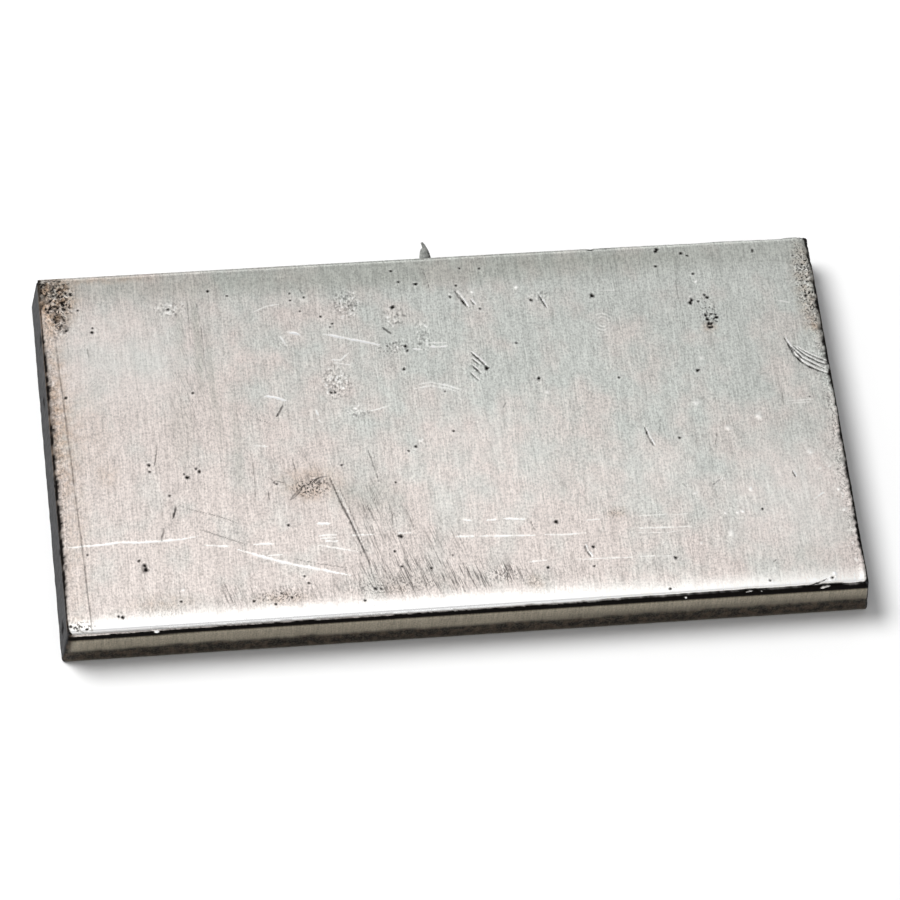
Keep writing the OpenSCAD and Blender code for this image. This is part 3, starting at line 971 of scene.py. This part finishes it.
# Pale metal of scratches and clean areas, also used as a painted highlight on the front edge and lips
FRESH_METAL_AND_HIGHLIGHT = (0.98, 0.97, 0.94)
# The scuffs lean this much from the brushing
SCUFF_LEAN = math.radians(16)


def ingot_material():
    material = bpy.data.materials.new("worn_silver_metal")
    material.use_nodes = True
    shader = material.node_tree.nodes["Principled BSDF"]
    n = Nodes(material.node_tree)

    # Brushing runs across the bar: fine along x, long along y, and upright on the sides.
    # Each noise has its cells' size in mm, then its detail and roughness.
    brushed = n.noise((0.18, 2.4, 2.4), 3, 0.65)
    crossed = n.noise((2, 0.22, 0.4), 2, 0.6)
    speckle = n.noise((0.25, 0.3, 0.3), 2, 0.6)
    end_grain = n.noise((1, 0.25, 1.5), 3, 0.6)
    streaks = n.noise((0.9, 14, 6), 2)
    patches = n.noise((4, 5, 3), 3)
    blotches = n.noise((1.1, 1.1, 1.1), 4, 0.6)
    scuffs = n.noise((0.14, 3, 1), 2, 0.6, turn=SCUFF_LEAN)
    squiggles = n.noise((0.3, 0.42, 0.3), 1, 0.5)
    specks = n.noise((0.24, 0.28, 0.24), 1, 0.5)
    hairs = n.noise((0.13, 6, 3), 1, 0.5)

    pink = n.math("ADD", n.mask("pink"), n.ramp(patches, 0.35, 0.65, -0.35, 0.35), clamp=True)
    colour = n.mix(pink, COOL_SILVER, PINK_SILVER)
    tarnish = n.mix(n.mask("end"), SIDE_TARNISH, END_TARNISH)
    colour = n.mix(n.mask("side"), colour, tarnish)
    # Grey stains, and a strip of painted shade along the back of the top
    colour = n.mix(n.times(n.mask("grey"), 0.6, clamp=True), colour, GREY_FILM_AND_SHADE)
    rust = n.times(n.mask("rust"), n.ramp(blotches, 0.38, 0.62, 0.3, 1.0), clamp=True)
    colour = n.mix(rust, colour, RUST)
    # The band's dark colour: dirt, with painted shade near the floor
    band_dirt_and_shade = n.times(n.mask("band_dirt_and_shade"), n.ramp(speckle, 0.35, 0.55, 0.75, 1.0))
    colour = n.mix(band_dirt_and_shade, colour, n.mix(n.ramp(blotches, 0.4, 0.55), BAND_BROWN, BAND_DARK))
    # Pale fresh metal, and painted highlights on the front edge's polished band and on lips
    colour = n.mix(n.mask("shine"), colour, FRESH_METAL_AND_HIGHLIGHT)

    # Dirt and painted shade: marks, the seam, the torn band, the spur, scuffs, and fine specks
    # everywhere
    # The spur's darkening: oxide, with painted shade on its right side and root
    spur = n.times(n.mask("spur"), n.ramp(blotches, 0.35, 0.65, 0.7, 1.0))
    scratched = n.times(n.mask("scuff"), n.ramp(scuffs, 0.54, 0.64, 0.0, 0.75))
    dots = n.times(n.ramp(speckle, 0.63, 0.72, 0.0, 0.5), n.ramp(blotches, 0.4, 0.6))
    specks = n.times(n.mask("speck"), n.ramp(specks, 0.54, 0.62))
    dirt_and_shade = n.mask("dirt_and_shade")
    # The seam mask paints the seam black here: a painted dark reflection
    for other in (n.mask("seam_dark_reflection"), spur, scratched, dots, specks):
        dirt_and_shade = n.math("MAXIMUM", dirt_and_shade, other, clamp=True)
    # Dark where there is dirt, and where the seam and spur are painted dark
    colour = n.mix(dirt_and_shade, colour, GRIME_AND_SHADE)

    woven = n.math("ADD", n.times(crossed, 0.06), n.times(speckle, 0.54))
    woven = n.math("ADD", woven, n.times(brushed, 0.4))
    woven = n.mix(n.mask("end"), woven, end_grain)
    light = n.ramp(woven, 0.36, 0.64, 0.66, 1.3)
    light = n.times(light, n.ramp(streaks, 0.3, 0.7, 0.95, 1.05))
    light = n.times(light, n.ramp(hairs, 0.58, 0.7, 1.0, 0.86))
    etched = n.times(n.math("SUBTRACT", squiggles, 0.5), n.mask("etch"))
    light = n.math("ADD", light, n.times(etched, 2.4))
    # The same mask brightens the colour further: fresh metal, and painted highlights on the front edge
    # and lips
    light = n.mix(n.mask("shine"), light, (1.25, 1.25, 1.25))
    n.put(shader.inputs["Base Color"], n.scale(colour, light))

    bare = n.math("SUBTRACT", 1.0, n.mask("end"))
    bare = n.math("SUBTRACT", bare, band_dirt_and_shade, clamp=True)
    metal = n.times(n.ramp(dirt_and_shade, 0.35, 0.9, 1.0, 0.0), bare)
    n.put(shader.inputs["Metallic"], metal)
    polish = n.ramp(woven, 0.35, 0.65, 0.42, 0.34)
    polish = n.math("ADD", polish, n.times(n.mask("end"), 0.15))
    polish = n.math("SUBTRACT", polish, n.times(n.mask("shine"), 0.1))
    polish = n.math("ADD", polish, n.times(dirt_and_shade, 0.35), clamp=True)
    n.put(shader.inputs["Roughness"], polish)
    n.put(shader.inputs["Specular IOR Level"], 0.05)

    relief = n.math("ADD", woven, n.times(etched, 2))
    bump = n.node("Bump", Strength=0.4, Distance=0.04 * MM, Height=relief)
    n.put(shader.inputs["Normal"], bump.outputs[0])
    return material


# -------- studio, in metres
FLOOR_SIZE = 3.0
FLOOR_GREYS = ((0.88, 0.88, 0.88), (0.9, 0.9, 0.9))
FLOOR_CLOUD = 250.0  # mm

# How bright the metal sees the room's walls and its horizon, and the floor sees the room
WALL = 0.61
HORIZON = 1.2
FLOOR_FILL = 0.4
# The sines of the elevations where the horizon's bright band starts to fade and is gone
HORIZON_FADE = (0.1, 0.42)

# Place, width and depth, and radiance of the lights
KEY = ((-0.65, 0.45, 1.2), (0.75, 0.85), 15.2)
OVERHEAD = ((-0.045, -0.02, 0.18), (0.24, 0.24), 0.665)


def floor_material():
    material = bpy.data.materials.new("studio_floor")
    material.use_nodes = True
    shader = material.node_tree.nodes["Principled BSDF"]
    n = Nodes(material.node_tree)
    cloud = n.noise((FLOOR_CLOUD, FLOOR_CLOUD, FLOOR_CLOUD))
    n.put(shader.inputs["Base Color"], n.mix(cloud, *FLOOR_GREYS))
    n.put(shader.inputs["Roughness"], 0.9)
    n.put(shader.inputs["Specular IOR Level"], 0.0)
    return material


def make_floor():
    bpy.ops.mesh.primitive_plane_add(size=FLOOR_SIZE)
    floor = bpy.context.object
    floor.name = "floor"
    floor.data.materials.append(floor_material())


def area_light(name, shape, place, size, radiance, lights_metal):
    """A softbox that faces down and lights either the metal's reflections or the floor."""
    lamp = bpy.data.lights.new(name, "AREA")
    lamp.shape = shape
    lamp.size, lamp.size_y = size
    face = size[0] * size[1] * (math.pi / 4 if shape == "ELLIPSE" else 1)
    lamp.energy = radiance * math.pi * face
    light = add_object(name, lamp)
    light.location = place
    light.visible_camera = False
    light.visible_glossy = lights_metal
    light.visible_diffuse = not lights_metal


def make_world():
    """A white room. The metal sees it dim, with a bright band along the horizon."""
    world = bpy.data.worlds.new("studio")
    bpy.context.scene.world = world
    world.use_nodes = True
    tree = world.node_tree
    n = Nodes(tree)
    direction = n.node("TexCoord").outputs["Generated"]
    height = n.node("SeparateXYZ", Vector=direction)
    room = n.ramp(height.outputs["Z"], *HORIZON_FADE, HORIZON, WALL)
    rays = n.node("LightPath").outputs
    room = n.mix(rays["Is Diffuse Ray"], room, (FLOOR_FILL,) * 3)
    room = n.mix(rays["Is Camera Ray"], room, (1.0, 1.0, 1.0))
    n.put(tree.nodes["Background"].inputs["Color"], room)


# -------- camera
CAMERA_ELEVATION = math.radians(58.72)
CAMERA_AZIMUTH = math.radians(-13.35)
CAMERA_ROLL = math.radians(7.96)
CAMERA_DISTANCE = 610 * MM
LENS = 200.03
SENSOR = 36
# The point on the top face that the camera looks at
AIM = Vector((-0.17, -3.08, THICK)) * MM


def make_camera():
    lens = bpy.data.cameras.new("camera")
    lens.lens = LENS
    lens.sensor_width = SENSOR
    lens.clip_end = 20
    camera = add_object("camera", lens)
    turn = Matrix.Rotation(CAMERA_AZIMUTH, 4, "Z")
    turn @= Matrix.Rotation(math.pi / 2 - CAMERA_ELEVATION, 4, "X")
    turn @= Matrix.Rotation(CAMERA_ROLL, 4, "Z")
    back = Matrix.Translation((0, 0, CAMERA_DISTANCE))
    camera.matrix_world = Matrix.Translation(AIM) @ turn @ back
    bpy.context.scene.camera = camera


# -------- all together
ingot = make_ingot()
ingot.data.materials.append(ingot_material())
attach(ingot, "root")
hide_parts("ingot")

make_floor()
make_world()
area_light("key", "ELLIPSE", *KEY, lights_metal=False)
area_light("overhead", "RECTANGLE", *OVERHEAD, lights_metal=True)
make_camera()
bpy.context.scene.view_settings.view_transform = "Standard"
